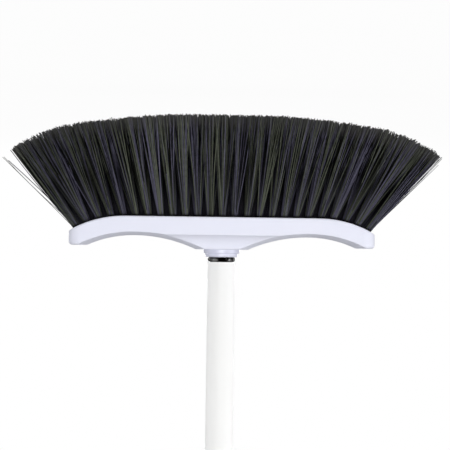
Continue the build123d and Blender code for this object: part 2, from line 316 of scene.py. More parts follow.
# %% Filmed rubber
FILM_SCALE = 260.0
FILM_EDGE = (0.40, 0.60)
FILM_STARTS = (0.0020, 0.0045)
FILM_SMOOTHING = 0.12
FILM_SHINE = {"Specular IOR Level": 0.0, "Coat Roughness": 0.09, "Coat IOR": 2.2}
FILM_TINT = (0.0070, 0.0066, 0.0036)
RUBBER_TINT = (0.0010, 0.0010, 0.0008)
RUBBER_ROUGHNESS = 0.30
RUBBER_GRAIN_SCALE = 320.0
RUBBER_GRAIN_DEPTH = 0.00003


def filmed_rubber(name):
    material, board = new_finish(name)
    place = board.place()
    beside = abs(board.split(place))
    patches = board.between(board.noise(place, FILM_SCALE), *FILM_EDGE)
    film = patches * board.between(beside, *FILM_STARTS)
    grain = board.noise(place, RUBBER_GRAIN_SCALE)
    colour = board.blend(film, RUBBER_TINT, FILM_TINT)
    roughness = RUBBER_ROUGHNESS - FILM_SMOOTHING * film
    shine = {**FILM_SHINE, "Coat Weight": film}
    close_finish(name, colour, roughness, grain, RUBBER_GRAIN_DEPTH, **shine)
    return material


washer_rubber = filmed_rubber("washer_rubber")

# %% [markdown]
# ## The white coat of the handle
#
# The handle is a thin steel tube in a shrunk vinyl coat. The coat is smoother than the block, and what
# roughness it has runs lengthwise, where the film was drawn over the tube. A Mapping node stretches the
# noise along the handle to get those draw lines, far shallower than they can be felt.

# %% Vinyl coat
COAT_STRETCH = (1.0, 1.0, 0.02)
DRAW_LINE_SCALE = 900.0
DRAW_LINE_DEPTH = 0.00002
DRAW_LINE_DULLING = 0.12
COAT_CLOUD_SCALE = 12.0
COAT_CLOUD_DULLING = 0.08
COAT_WHITES = ((0.88, 0.88, 0.875), (0.90, 0.90, 0.895))
COAT_ROUGHNESS = 0.40
COAT_SHINE = {"Diffuse Roughness": 1.0, "Specular IOR Level": 0.35}


def vinyl_coat(name):
    material, board = new_finish(name)
    place = board.place()
    drawn = board.noise(board.stretched(place, COAT_STRETCH), DRAW_LINE_SCALE, detail=3.0)
    clouds = board.noise(place, COAT_CLOUD_SCALE, detail=3.0)
    colour = board.blend(clouds, *COAT_WHITES)
    roughness = COAT_ROUGHNESS + DRAW_LINE_DULLING * drawn + COAT_CLOUD_DULLING * clouds
    close_finish(name, colour, roughness, drawn, DRAW_LINE_DEPTH, **COAT_SHINE)
    return material


sleeve_vinyl = vinyl_coat("sleeve_vinyl")

# %% [markdown]
# ## Bare steel inside
#
# The tube under the coat and the staples behind the tufts are steel that nobody sees until the broom is
# taken apart. Both are drawn metal, so their scratches run along the length. The same stretched noise does
# that, in the tube along the handle and in the staples along the block.

# %% Drawn steel
SCRATCH_SCALE = 2400.0
SCRATCH_DEPTH = 0.00002
SCRATCH_DULLING = 0.22
STAIN_SCALE = 60.0
STAIN_EDGE = (0.35, 0.75)
STAIN_TONE = 0.72
STEEL_ROUGHNESS = 0.26


def drawn_steel(name, stretch, tone):
    material, board = new_finish(name)
    place = board.place()
    scratches = board.noise(board.stretched(place, stretch), SCRATCH_SCALE, detail=3.0)
    stain = board.noise(place, STAIN_SCALE, detail=4.0)
    stained = tuple(STAIN_TONE * c for c in tone)
    colour = board.blend(board.between(stain, *STAIN_EDGE), tone, stained)
    roughness = STEEL_ROUGHNESS + SCRATCH_DULLING * scratches
    close_finish(name, colour, roughness, scratches, SCRATCH_DEPTH, Metallic=1.0)
    return material


tube_steel = drawn_steel("tube_steel", stretch=(1.0, 1.0, 0.01), tone=(0.60, 0.61, 0.63))
staple_wire = drawn_steel("staple_wire", stretch=(0.05, 1.0, 1.0), tone=(0.62, 0.62, 0.63))

# %% [markdown]
# ## Dress the solids that are right as they are
#
# These solids already have the photographed shape, so they keep it and only change their material.

# %% Dress the solids
SOLID_FINISHES = {
    "block": block_plastic,
    "socket_bush": bush_plastic,
    "lock_washer": washer_rubber,
    "threaded_tip": tip_plastic,
    "handle_tube": tube_steel,
    "handle_sleeve": sleeve_vinyl,
    "hang_cap": cap_plastic,
}
ROW_NAMES = ("front", "inner_front", "inner_back", "back")
for row_name in ROW_NAMES:
    SOLID_FINISHES["staples_" + row_name] = staple_wire
for node_name, material in SOLID_FINISHES.items():
    solid = frame["nodes"][node_name]
    solid.data.materials.clear()
    solid.data.materials.append(material)
print("dressed", len(SOLID_FINISHES), "solids")

# %% [markdown]
# ## Where the tufts stand and where they end
#
# The tuft face is flat in the middle and bows up towards the ends, so a tuft's place is given by its run
# along that face. Its filaments lean outward, more towards the ends, and are trimmed on one wide arc with a
# tighter arc at each end. These are the same rules that shaped the solids, in metres. Only two values are
# the picture's own: the whole fan drifts a little to one side, and the roots stand slightly further apart.

# %% The face and the trim line
FACE_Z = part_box("block")[0].z
FACE_FLAT_HALF = 0.076
FACE_END_RADIUS = 0.087
TUFT_PITCH = 0.0096
LONG_ROW = 25
ROW_PITCH = 0.0105
FAN_RATE = radians(205.0)
FAN_END_FLARE = radians(13.8)
FAN_END_POWER = 6
DEPTH_FLARE = 1.5
SWEEP_RADIUS = 0.740
SWEEP_HALF = 0.117
SWEEP_CORNER_RADIUS = 0.1165
FLOOR_CUT = 0.0005
FAN_DRIFT = -0.0020
ROOT_STRETCH = 1.012

SWEEP_Z = SWEEP_RADIUS - FLOOR_CUT
SWEEP_TURN = asin(SWEEP_HALF / SWEEP_RADIUS)
CORNER_X = (SWEEP_RADIUS - SWEEP_CORNER_RADIUS) * sin(SWEEP_TURN)
CORNER_Z = SWEEP_Z - (SWEEP_RADIUS - SWEEP_CORNER_RADIUS) * cos(SWEEP_TURN)
END_RUN = TUFT_PITCH * (LONG_ROW - 1) / 2


def side_of(run):
    return 1 if run >= 0 else -1


def face_point(run, depth=0.0):
    """The place in XZ at a run along the tuft face, that deep in the block, and the face's turn there."""
    turn = max(0.0, abs(run) - FACE_FLAT_HALF) / FACE_END_RADIUS
    radius = FACE_END_RADIUS - depth
    x = min(abs(run), FACE_FLAT_HALF) + radius * sin(turn)
    z = FACE_Z + FACE_END_RADIUS - radius * cos(turn)
    return side_of(run) * x, z, side_of(run) * turn


END_X = face_point(END_RUN)[0]


def reach_to_arc(x, z, lean, centre_x, centre_z, radius):
    """How far a line that leans out and down runs before it meets an arc of the trim line."""
    along = (x - centre_x) * sin(lean) - (z - centre_z) * cos(lean)
    inside = (x - centre_x) ** 2 + (z - centre_z) ** 2 - radius**2
    return sqrt(along**2 - inside) - along


def tip_point(run, y):
    """Where the middle of a tuft meets the trim line."""
    x, z, turn = face_point(abs(run))
    lean = FAN_RATE * x + FAN_END_FLARE * (x / END_X) ** FAN_END_POWER
    length = reach_to_arc(x, z, lean, 0.0, SWEEP_Z, SWEEP_RADIUS)
    if x + length * sin(lean) > SWEEP_HALF:
        length = reach_to_arc(x, z, lean, CORNER_X, CORNER_Z, SWEEP_CORNER_RADIUS)
    return Vector((side_of(run) * (x + length * sin(lean)), y * DEPTH_FLARE, z - length * cos(lean)))


def tuft_runs(count):
    return [TUFT_PITCH * (i - (count - 1) / 2) for i in range(count)]


ROWS = {}
for i, row_name in enumerate(ROW_NAMES):
    row_y = (i - (len(ROW_NAMES) - 1) / 2) * ROW_PITCH
    ROWS[row_name] = (row_y, LONG_ROW - i % 2)
print("tufts in all", sum(count for y, count in ROWS.values()))

# %% [markdown]
# ## The tufts of a row
#
# No two tufts are quite alike, and equal copies would look like a comb. So each tuft opens, sways and
# shades a little differently, by a seeded die. The last tuft of a row is narrow and stops at the fan's
# corner, and a few thin filaments stand off from it. Tufts get painted shade towards the fan's ends, and
# the outermost ones belly out a little.

# %% Tufts by the die
MIDDLE_SPREAD = tip_point(TUFT_PITCH / 2, 0.0).x
TUFT_OPENINGS = (0.78, 1.12)
TUFT_SWAY = 0.0011
TUFT_SHADES = (0.70, 1.0)
END_PULL = 0.0002
END_SPREAD = 0.0042
END_BELLY = 0.0004
END_BELLY_POWER = 8
STRAYS_AT_END = 2
STRAY_STANDS = (0.0070, 0.0135)
STRAY_SHIFT = 0.0016
STRAY_SPREAD = 0.0006
# The strays carry the deepest painted shade of the fan's ends
STRAY_SHADE = 0.1
STRAY_BELLY = 0.0012
STRAY_GIRTH = 0.6


class Tuft(NamedTuple):
    """What the filaments of a tuft need to know."""

    run: float
    tip: Vector
    spread: float
    share: float
    shade: float
    belly: float
    girth: float


def end_strays(run, tip, filaments, dice):
    """The few filaments that stand off from the last tuft of a row."""
    side = side_of(run)
    return Tuft(
        run=run + side * STRAY_SHIFT,
        tip=tip + Vector((side * dice.uniform(*STRAY_STANDS), 0.0, 0.0)),
        spread=STRAY_SPREAD,
        share=STRAYS_AT_END / filaments,
        shade=STRAY_SHADE,
        belly=side * STRAY_BELLY,
        girth=STRAY_GIRTH,
    )


def row_tufts(y, count, filaments, dice):
    """A row's tufts from end to end, with the strays at both ends."""
    half = TUFT_PITCH / 2
    tufts = []
    for i, run in enumerate(tuft_runs(count)):
        tip = tip_point(run, y)
        tip.x += FAN_DRIFT
        spread = (tip_point(run + half, y).x - tip_point(run - half, y).x) / 2
        share = max(1.0, spread / MIDDLE_SPREAD)
        spread *= dice.uniform(*TUFT_OPENINGS)
        if i in (0, count - 1):
            spread = END_SPREAD
            tip.x -= side_of(run) * END_PULL
            tufts.append(end_strays(run, tip, filaments, dice))
        else:
            tip.x += dice.gauss(0.0, TUFT_SWAY)
        outward = abs(run) / END_RUN
        # A random tone, with painted shade that deepens towards the fan's ends
        shade = dice.uniform(*TUFT_SHADES) * (1 - outward**2)
        belly = side_of(run) * END_BELLY * outward**END_BELLY_POWER
        tufts.append(Tuft(run, tip, spread, share, shade, belly, girth=1.0))
    return tufts


print("a middle tuft spreads", round(1000 * MIDDLE_SPREAD, 2), "mm to each side")

# %% [markdown]
# ## Guide points
#
# Geometry Nodes need somewhere to start. Each row becomes a mesh of loose points, one a tuft, and each
# point carries its tuft's facts as attributes: where the tuft's middle ends, how far it spreads along the
# trim line, how many filaments fill that spread, how pale they are, by a random tone and painted shade
# towards the fan's ends, how bellied and thick they are, whether they face the front or the back, which
# sets the painted shade of a tuft's hidden side, and which way the tuft face runs there.

# %% Points that carry facts
def new_object(name, data):
    """An object in the scene that holds a mesh, a lamp or a camera."""
    made = bpy.data.objects.new(name, data)
    bpy.context.scene.collection.objects.link(made)
    return made


def point_attribute(mesh, name, kind, values):
    attribute = mesh.attributes.new(name, kind, "POINT")
    field = "vector" if kind == "FLOAT_VECTOR" else "value"
    flat = [n for v in values for n in v] if kind == "FLOAT_VECTOR" else values
    attribute.data.foreach_set(field, flat)


def guide_points(name, y, tufts):
    faces = [face_point(ROOT_STRETCH * tuft.run) for tuft in tufts]
    mesh = bpy.data.meshes.new(name)
    mesh.from_pydata([(x, y, z) for x, z, turn in faces], [], [])
    point_attribute(mesh, "tip", "FLOAT_VECTOR", [tuft.tip for tuft in tufts])
    for fact in ("spread", "share", "shade", "belly", "girth"):
        point_attribute(mesh, fact, "FLOAT", [getattr(tuft, fact) for tuft in tufts])
    point_attribute(mesh, "facing", "FLOAT", [1.0 if y > 0 else -1.0] * len(tufts))
    point_attribute(mesh, "tangent", "FLOAT_VECTOR", [(cos(turn), 0.0, sin(turn)) for x, z, turn in faces])
    widest = max(tuft.spread for tuft in tufts)
    print(name, "has", len(tufts), "guides, with spreads up to", round(1000 * widest, 2), "mm")
    return new_object(name, mesh)


# %% [markdown]
# ## Charcoal filament
#
# Bristle fibre is dyed polyester, almost black, and no two filaments catch the light alike. Painting them
# one by one is hopeless, so they share one small chart, which is a UV map. A filament takes one column of
# it, and its place along the length is the other axis. The column says how worn it is, with painted shade
# mixed in: the first two stay black, the others go from dull to grey, and every second one has the other of
# two tints. Along its length a filament is black at its foot, a painted shade where it leaves its hole, even
# where the tuft is tight, and scuffed where the tuft loosens. A dull one, from a tuft's painted shade on its
# hidden side, gets painted light towards its end. The ends are flagged, that is, split into finer hairs,
# which makes them grey. The chart's lower half is for the inner rows. Their colour is painted shade until
# they stand clear of the outer ones, a lighter painted shade on their roots.

# %% The fibre's chart
FIBRE_MAP = "OFBake"
FIBRE_COLUMNS = 48
LAST_BLACK_COLUMN = 1
BLACK_TINTS = ((0.0012, 0.0012, 0.002), (0.0015, 0.0015, 0.0012))
WORN_TINTS = ((0.152, 0.147, 0.212), (0.156, 0.171, 0.132))
# Painted shade for the inner rows: a lighter one on their roots, a deep one further up
PAINTED_ROOT_SHADE_TINT = (0.018, 0.017, 0.023)
PAINTED_DEPTH_SHADE_TINT = (0.002, 0.002, 0.0026)
FLAG_TINT = (0.100, 0.099, 0.095)
TIGHT_WEAR = 0.24
TIGHT_SHARE = 0.62
# The grey to which painted light lifts every filament that isn't black, towards its end
PAINTED_LIGHT_WEAR = 0.45
SCUFF_LEAST = 0.4
SCUFF_DRIFT = 1.3
SCUFFS_ALONG = 24
SCUFF_COLUMN_STEP = 3.7
FLAG_SHARE = 0.70
FIBRE_ROUGHNESS = 0.38
END_DULLING = 0.24
FIBRE_SHINE = {"Specular IOR Level": 0.02}

# Where a change starts and is complete, as shares of the length from the root
PAINTED_FOOT_SHADE_ENDS = (0.014, 0.05)
TUFT_LOOSENS = (0.05, 0.55)
PAINTED_LIGHT_ENTERS = (0.4, 0.75)
PAINTED_ROOT_LIGHT_ENDS = (0.0, 0.35)
PAINTED_ROW_SHADE_CLEARS = (0.4, 0.8)
FLAGS_OPEN = (0.80, 1.0)
print("the chart has", FIBRE_COLUMNS, "columns, and the first", LAST_BLACK_COLUMN + 1, "are black")

# %% Bristle fibre
def bristle_fibre(name):
    material, board = new_finish(name)
    chart = board.split(board.node("ShaderNodeUVMap", {"uv_map": FIBRE_MAP}))
    column = (chart.out("X") * FIBRE_COLUMNS).floor()
    outer = chart.out("Y") > 0.5
    along = chart.out("Y") * 2 - outer
    tint = column % 2

    # Wear with the chart's painted shade: even where the tuft is tight, scuffed where loose, painted light
    # near the end
    own = column / FIBRE_COLUMNS
    # Painted light: past the middle, a filament that isn't black is lifted to at least a grey
    painted_light_lift = own.at_least((column > LAST_BLACK_COLUMN + 0.5) * PAINTED_LIGHT_WEAR)
    lifted_by_painted_light = board.level(board.between(along, *PAINTED_LIGHT_ENTERS), own, painted_light_lift)
    scuff_place = board.combine(X=column * SCUFF_COLUMN_STEP, Y=along * SCUFFS_ALONG)
    scuffed_with_painted_light = lifted_by_painted_light * (SCUFF_LEAST + SCUFF_DRIFT * board.noise(scuff_place, 1.0))
    tight = TIGHT_WEAR + TIGHT_SHARE * own
    wear_and_painted_shade = board.level(board.between(along, *TUFT_LOOSENS), tight, scuffed_with_painted_light).at_most(1.0)

    # Its colour: a black foot of painted shade, painted shade in the inner rows' depths and a grey end
    black = board.blend(tint, *BLACK_TINTS)
    # The worn colour carries the painted shade and painted light of the wear above
    dyed = board.blend(wear_and_painted_shade, black, board.blend(tint, *WORN_TINTS))
    # Painted shade: black at the foot, where the filament leaves its hole
    with_painted_foot_shade = board.blend(board.between(along, *PAINTED_FOOT_SHADE_ENDS), black, dyed)
    # Painted shade in the inner rows, lighter at their roots, gone where they stand clear of the outer rows
    painted_depths = board.blend(board.between(along, *PAINTED_ROOT_LIGHT_ENDS), PAINTED_ROOT_SHADE_TINT, PAINTED_DEPTH_SHADE_TINT)
    painted_row_shade = (1 - board.between(along, *PAINTED_ROW_SHADE_CLEARS)) * (1 - outer)
    with_painted_shade = board.blend(painted_row_shade, with_painted_foot_shade, painted_depths)
    colour = board.blend(board.between(along, *FLAGS_OPEN) * FLAG_SHARE, with_painted_shade, FLAG_TINT)
    close_finish(name, colour, FIBRE_ROUGHNESS + END_DULLING * along, **FIBRE_SHINE)
    return material


fibre = bristle_fibre("bristle_fibre")

# %% [markdown]
# ## A tree for a row of tufts
#
# A tuft is a bundle of about a hundred filaments, folded over a staple in its hole. It leaves the hole as a
# tight round bundle and splays until it meets its neighbours at the trim line. Hair particles could do this,
# but they don't survive an export. So a tree of Geometry Nodes copies each guide point once for every
# filament, gives each copy a place in the round hole and a matching place in the tuft's end, and copies it
# again for the steps along its length. Its sizes are named inputs, so one tree serves all four rows.

# %% Trees with named inputs
BRISTLE_INPUTS = {
    "Geometry": "NodeSocketGeometry",
    "Filaments": "NodeSocketInt",
    "Steps": "NodeSocketInt",
    "Hole Radius": "NodeSocketFloat",
    "Filament Radius": "NodeSocketFloat",
    "Splay": "NodeSocketFloat",
    "Spread Share": "NodeSocketFloat",
    "Depth Spread": "NodeSocketFloat",
    "Uneven": "NodeSocketFloat",
    "Disorder": "NodeSocketFloat",
    "Bow": "NodeSocketFloat",
    "Clumping": "NodeSocketFloat",
    "Outer": "NodeSocketInt",
    "Stray Share": "NodeSocketFloat",
    "Stray Reach": "NodeSocketFloat",
    "Seed": "NodeSocketInt",
    "Finish": "NodeSocketMaterial",
}


def new_geometry_tree(name, inputs):
    tree = bpy.data.node_groups.new(name, "GeometryNodeTree")
    tree.is_modifier = True
    tree.interface.new_socket("Geometry", in_out="OUTPUT", socket_type="NodeSocketGeometry")
    for label, kind in inputs.items():
        tree.interface.new_socket(label, in_out="INPUT", socket_type=kind)
    board = Board(tree)
    return tree, board, board.node("NodeGroupInput")


def close_tree(board, given, geometry):
    """The end of every tree: plain geometry in its finish."""
    real = board.node("GeometryNodeRealizeInstances", {}, {"Geometry": geometry})
    dyed = board.node("GeometryNodeSetMaterial", {}, {"Geometry": real, "Material": given.out("Finish")})
    board.node("NodeGroupOutput", {}, {"Geometry": dyed})


def store(board, geometry, name, kind, value, domain="POINT"):
    return board.node(
        "GeometryNodeStoreNamedAttribute",
        {"data_type": kind, "domain": domain},
        {"Geometry": geometry, "Name": name, "Value": value},
    )


def stored(board, name, kind="FLOAT"):
    return board.node("GeometryNodeInputNamedAttribute", {"data_type": kind}, {"Name": name})


def duplicated(board, points, amount):
    sockets = {"Geometry": points, "Amount": amount}
    return board.node("GeometryNodeDuplicateElements", {"domain": "POINT"}, sockets)


# %% [markdown]
# ## Where a filament starts
#
# Random values place the filaments. Each draw has a word, and the word's place in a list is added to the
# row's seed, so no two draws are alike and a new one at the list's end changes none of the others. Filaments
# stick together in locks, as damp hair does, so a filament also knows the lock that it is in, by a number
# that the whole lock shares.

# %% Draws and roots
DRAWS = (
    "angle",
    "out",
    "stray",
    "lock lean",
    "depth lean",
    "ragged",
    "more ragged",
    "bow",
    "depth bow",
    "own wear",
    "lock wear",
    "lock tint",
    "own lean",
    "black",
)
EITHER_WAY = (-1.0, 1.0)
LOCK_PITCH = 0.16
LOCK_DEPTH = 0.25

# How far a lock's number goes up with its tuft's shade and with its layer, so that few locks share a number
SHADE_STEP = 9000
LAYER_STEP = 30


class Filament(NamedTuple):
    """A filament's place in its hole, from -1 to 1 each way, its lock, and how far it strays."""

    across: Wire
    deep: Wire
    lock: Wire
    lock_number: Wire
    stray: Wire


def draws_from(board, seed):
    """A function that draws a random value for each filament, or for each number that it is given."""

    def draw(word, low=0.0, high=1.0, number=None):
        sockets = {"Min_001": low, "Max_001": high, "Seed": seed + (DRAWS.index(word) + 1)}
        if number is not None:
            sockets["ID"] = number
        return board.node("FunctionNodeRandomValue", {"data_type": "FLOAT"}, sockets, "Value_001")

    return draw


def filament_in_tuft(board, given, draw):
    """Spreads filaments evenly over the round hole, by the square root, and sorts them into locks."""
    angle = draw("angle", 0.0, 2 * pi)
    out = draw("out") ** 0.5
    across = angle.cosine() * out
    deep = angle.sine() * out
    lock = (across / LOCK_PITCH).floor()
    layer = (deep / LOCK_DEPTH).floor()
    lock_number = stored(board, "shade") * SHADE_STEP + lock + layer * LAYER_STEP
    stray = (draw("stray") > 1 - given.out("Stray Share")) * given.out("Stray Reach") + 1
    return Filament(across, deep, lock, lock_number, stray)


def root_offset(board, given, filament):
    """From the middle of the hole to the filament's root."""
    hole = given.out("Hole Radius")
    sideways = board.scaled(stored(board, "tangent", "FLOAT_VECTOR"), filament.across * hole)
    return board.vector("ADD", sideways, board.combine(Y=filament.deep * hole))


print(len(DRAWS), "draws a filament")

# %% [markdown]
# ## Where it ends
#
# A filament's end is in step with its root: what stands left in the hole ends left in the tuft. To that come
# a pull towards its lock's middle, a lean that it shares with the lock, a mostly small one of its own, and a
# ragged cut. No end goes below the height at which the broom touches the ground. Between root and end a
# filament bows a little, at random and with the belly of its tuft.

# %% Ends and bows
TIP_CLEARANCE = 0.0003
OWN_LEAN_POWER = 3.0


def trim_height(board, x):
    """The trim line's height at a place along it: the wide arc, or past its end the tighter one."""
    out = abs(x - FAN_DRIFT)
    wide = SWEEP_Z - (SWEEP_RADIUS**2 - out**2.0) ** 0.5
    tight = CORNER_Z - (SWEEP_CORNER_RADIUS**2 - (out - CORNER_X) ** 2.0) ** 0.5
    return board.level(out > SWEEP_HALF, wide, tight)


def end_offset(board, given, draw, filament):
    """From the end of the tuft's middle to the filament's end."""
    tip = board.split(stored(board, "tip", "FLOAT_VECTOR"))
    spread = stored(board, "spread") * given.out("Spread Share")
    disorder = given.out("Disorder")
    lock_middle = (filament.lock + 0.5) * LOCK_PITCH
    gathered = board.level(given.out("Clumping"), filament.across, lock_middle)
    lock_lean = draw("lock lean", *EITHER_WAY, filament.lock_number)
    lean = lock_lean + draw("own lean", *EITHER_WAY) ** OWN_LEAN_POWER
    x = tip + (gathered + lean * disorder) * spread * filament.stray
    y = (filament.deep + draw("depth lean", *EITHER_WAY) * disorder) * given.out("Depth Spread")
    ragged = (draw("ragged", *EITHER_WAY) + draw("more ragged", *EITHER_WAY)) * given.out("Uneven")
    z = (trim_height(board, x) + ragged).at_least(TIP_CLEARANCE)
    return board.combine(X=x - tip, Y=y, Z=z - tip.out("Z"))


def bow_offset(board, given, draw, filament):
    """How far the filament bows out half way along."""
    either_way = board.combine(X=draw("bow", *EITHER_WAY), Y=draw("depth bow", *EITHER_WAY))
    at_random = board.scaled(either_way, given.out("Bow") * filament.stray)
    return board.vector("ADD", at_random, board.combine(X=stored(board, "belly")))


# %% [markdown]
# ## How worn it is, with painted shade
#
# A filament is worn where its tuft faces the front or the back, and on the hidden side it gets painted
# shade, a dull colour. Worn ones differ, each by itself and lock by lock, and are darker by painted shade in
# a tuft towards the fan's ends. Some took the dye so well that they stay black, and more black ones towards
# the fan's ends are painted shade. These black lines between grey ones are what makes bristles look fine
# from afar.

# %% A column on the chart
# Painted shade: a dull colour on a tuft's hidden side, and less wear with more black filaments towards the
# fan's ends
HIDDEN_SIDE_SHADE_FADES = (0.20, 0.60)
HIDDEN_SIDE_PAINTED_SHADE = 0.07
LEAST_WEAR = 0.50
OWN_WEAR = 0.32
LOCK_WEAR = 0.14
PAINTED_END_SHADE_WEAR = 0.62
BLACK_SHARE = 0.28
PAINTED_END_SHADE_BLACKS = 0.14
TINT_SHARE = 0.5


def chart_column(board, draw, filament):
    """The wear, with painted shade, in steps of two columns, and one column more for the lock's other tint.
    """
    shade = stored(board, "shade")
    # Painted shade: a dull colour on the tuft's hidden side
    unshaded_side = board.between(filament.deep * stored(board, "facing"), *HIDDEN_SIDE_SHADE_FADES)
    by_lock = LOCK_WEAR * draw("lock wear", number=filament.lock_number)
    # Painted shade towards the fan's ends: less wear, and more black filaments
    full = (OWN_WEAR * draw("own wear") + by_lock + LEAST_WEAR) * board.level(shade, PAINTED_END_SHADE_WEAR, 1.0)
    not_black = draw("black") > BLACK_SHARE + PAINTED_END_SHADE_BLACKS * (1 - shade)
    wear_and_painted_shade = not_black * board.level(unshaded_side, HIDDEN_SIDE_PAINTED_SHADE, full)
    pair = (wear_and_painted_shade * (FIBRE_COLUMNS / 2)).floor()
    return pair * 2 + (draw("lock tint", number=filament.lock_number) > TINT_SHARE)


# %% [markdown]
# ## Along its length and round it
#
# The steps of a filament run from its root to its end, with the splay as a power of the way gone. Points to
# Curves joins them, and Curve to Mesh gives them three sides, the fewest that still catch light from any
# side, and a slight taper. Each side lies within the filament's column, clear of the columns beside it.

# %% Steps and sides
FILAMENT_SIDES = 3
TAPER = 0.2
COLUMN_MARGIN = 0.1
COLUMN_SPAN = (1 - 2 * COLUMN_MARGIN) * FILAMENT_SIDES / (FILAMENT_SIDES - 1)
LENGTH_MARGIN = 0.01


def filament_curves(board, given, strands):
    steps = duplicated(board, strands, given.out("Steps"))
    step = steps.out("Duplicate Index")
    part = step / (given.out("Steps") - 1)
    splayed = part ** given.out("Splay")
    middle = board.node("GeometryNodeInputPosition")
    axis = board.vector("SUBTRACT", stored(board, "tip", "FLOAT_VECTOR"), middle)
    offsets = (
        board.scaled(axis, part),
        board.scaled(stored(board, "root", "FLOAT_VECTOR"), 1 - splayed),
        board.scaled(stored(board, "end", "FLOAT_VECTOR"), splayed),
        board.scaled(stored(board, "bow", "FLOAT_VECTOR"), 4 * part * (1 - part)),
    )
    place = middle
    for offset in offsets:
        place = board.vector("ADD", place, offset)
    points = board.node("GeometryNodeSetPosition", {}, {"Geometry": steps, "Position": place})
    sockets = {"Points": points, "Curve Group ID": stored(board, "strand", "INT"), "Weight": step}
    return board.node("GeometryNodePointsToCurves", {}, sockets)


def filament_skins(board, given, curves):
    curves = store(board, curves, "along", "FLOAT", board.node("GeometryNodeSplineParameter"))
    circle = {"Resolution": FILAMENT_SIDES, "Radius": 1.0}
    ring = board.node("GeometryNodeCurvePrimitiveCircle", {"mode": "RADIUS"}, circle)
    ring = store(board, ring, "around", "FLOAT", board.node("GeometryNodeSplineParameter"))
    along = stored(board, "along")
    thickness = given.out("Filament Radius") * stored(board, "girth") * (1 - TAPER * along)
    sockets = {"Curve": curves, "Profile Curve": ring, "Scale": thickness}
    skins = board.node("GeometryNodeCurveToMesh", {}, sockets)
    in_column = COLUMN_MARGIN + COLUMN_SPAN * stored(board, "around")
    in_length = LENGTH_MARGIN + (1 - 2 * LENGTH_MARGIN) * along
    chart_x = (stored(board, "column") + in_column) / FIBRE_COLUMNS
    chart_y = (in_length + given.out("Outer")) / 2
    skins = store(board, skins, FIBRE_MAP, "FLOAT2", board.combine(X=chart_x, Y=chart_y), "CORNER")
    return board.node("GeometryNodeSetShadeSmooth", {}, {"Geometry": skins})


# %% The tree for a row
def bristle_tree():
    tree, board, given = new_geometry_tree("bristle row", BRISTLE_INPUTS)
    draw = draws_from(board, given.out("Seed"))
    tufts = board.node("GeometryNodeMeshToPoints", {"mode": "VERTICES"}, {"Mesh": given.out("Geometry")})
    strands = duplicated(board, tufts, given.out("Filaments") * stored(board, "share"))
    filament = filament_in_tuft(board, given, draw)
    offsets = {
        "root": root_offset(board, given, filament),
        "end": end_offset(board, given, draw, filament),
        "bow": bow_offset(board, given, draw, filament),
    }
    for name, offset in offsets.items():
        strands = store(board, strands, name, "FLOAT_VECTOR", offset)
    strands = store(board, strands, "column", "FLOAT", chart_column(board, draw, filament))
    strands = store(board, strands, "strand", "INT", board.node("GeometryNodeInputIndex"))
    curves = filament_curves(board, given, strands)
    close_tree(board, given, filament_skins(board, given, curves))
    return tree


bristle_row_tree = bristle_tree()
print("bristle tree has", len(bristle_row_tree.nodes), "nodes")

# %% [markdown]
# ## Grow the rows
#
# The tree runs once a row, with its own seed, and its result becomes a plain mesh. The attributes that only
# helped it grow are taken off. The four rows ride on the head and stand for the four rows of solid strands.

# %% Grow the rows
BRISTLE_SIZES = {
    "Filaments": 95,
    "Steps": 6,
    "Hole Radius": 0.0024,
    "Filament Radius": 0.00042,
    "Splay": 1.1,
    "Spread Share": 1.5,
    "Depth Spread": 0.0088,
    "Uneven": 0.0005,
    "Disorder": 0.32,
    "Clumping": 0.60,
    "Bow": 0.0011,
    "Stray Share": 0.010,
    "Stray Reach": 0.5,
    "Finish": fibre,
}
TUFT_SEED = 1918
FIRST_ROW_SEED = 7
ROW_SEED_STEP = 100
GUIDE_FACTS = ("tip", "spread", "share", "shade", "belly", "girth", "facing", "tangent", "tilt")
FILAMENT_FACTS = ("root", "end", "bow", "column", "strand", "along", "around")


def grown(name, guide, tree, sizes):
    """Runs a tree on a guide object and gives back its result as a plain mesh object at the origin."""
    modifier = guide.modifiers.new("grow", "NODES")
    modifier.node_group = tree
    for socket in tree.interface.items_tree:
        if socket.in_out == "INPUT" and socket.name in sizes:
            modifier[socket.identifier] = sizes[socket.name]
    graph = bpy.context.evaluated_depsgraph_get()
    mesh = bpy.data.meshes.new_from_object(guide.evaluated_get(graph), depsgraph=graph)
    mesh.name = name
    guide.modifiers.remove(modifier)
    for fact in GUIDE_FACTS + FILAMENT_FACTS:
        if fact in mesh.attributes:
            mesh.attributes.remove(mesh.attributes[fact])
    triangles = sum(len(face.vertices) - 2 for face in mesh.polygons)
    print(name, "has", triangles, "triangles")
    return new_object(name, mesh)


guides = {}
dice = random.Random(TUFT_SEED)
for i, (row_name, (y, count)) in enumerate(ROWS.items()):
    tufts = row_tufts(y, count, BRISTLE_SIZES["Filaments"], dice)
    guides[row_name] = guide_points("guide_" + row_name, y, tufts)
    outer = 0 if "inner" in row_name else 1
    sizes = {**BRISTLE_SIZES, "Outer": outer, "Seed": ROW_SEED_STEP * i + FIRST_ROW_SEED}
    row = grown("tufts_" + row_name, guides[row_name], bristle_row_tree, sizes)
    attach(row, "head")
    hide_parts("bristles_" + row_name)

# %% [markdown]
# ## The drilled tuft face
#
# The rows of strands took a slice of the block with them when they were hidden, so the face that holds the
# tufts is made again here: a bowed plate, drilled with one hole a tuft. The plate is a run of stations along
# the bow, each as deep as the block's rounded corners leave room for.

# %% The plate
BED_DEPTH = 0.004
BED_HALF_DEPTH = 2 * ROW_PITCH
BED_MARGIN = 0.003
BED_END_RUN = END_RUN + BED_MARGIN
BED_CORNER_RADIUS = 0.007
BED_CORNER_X = 0.111
BED_CORNER_Y = 0.015
BED_STATIONS = 72
STATION_POINTS = 4


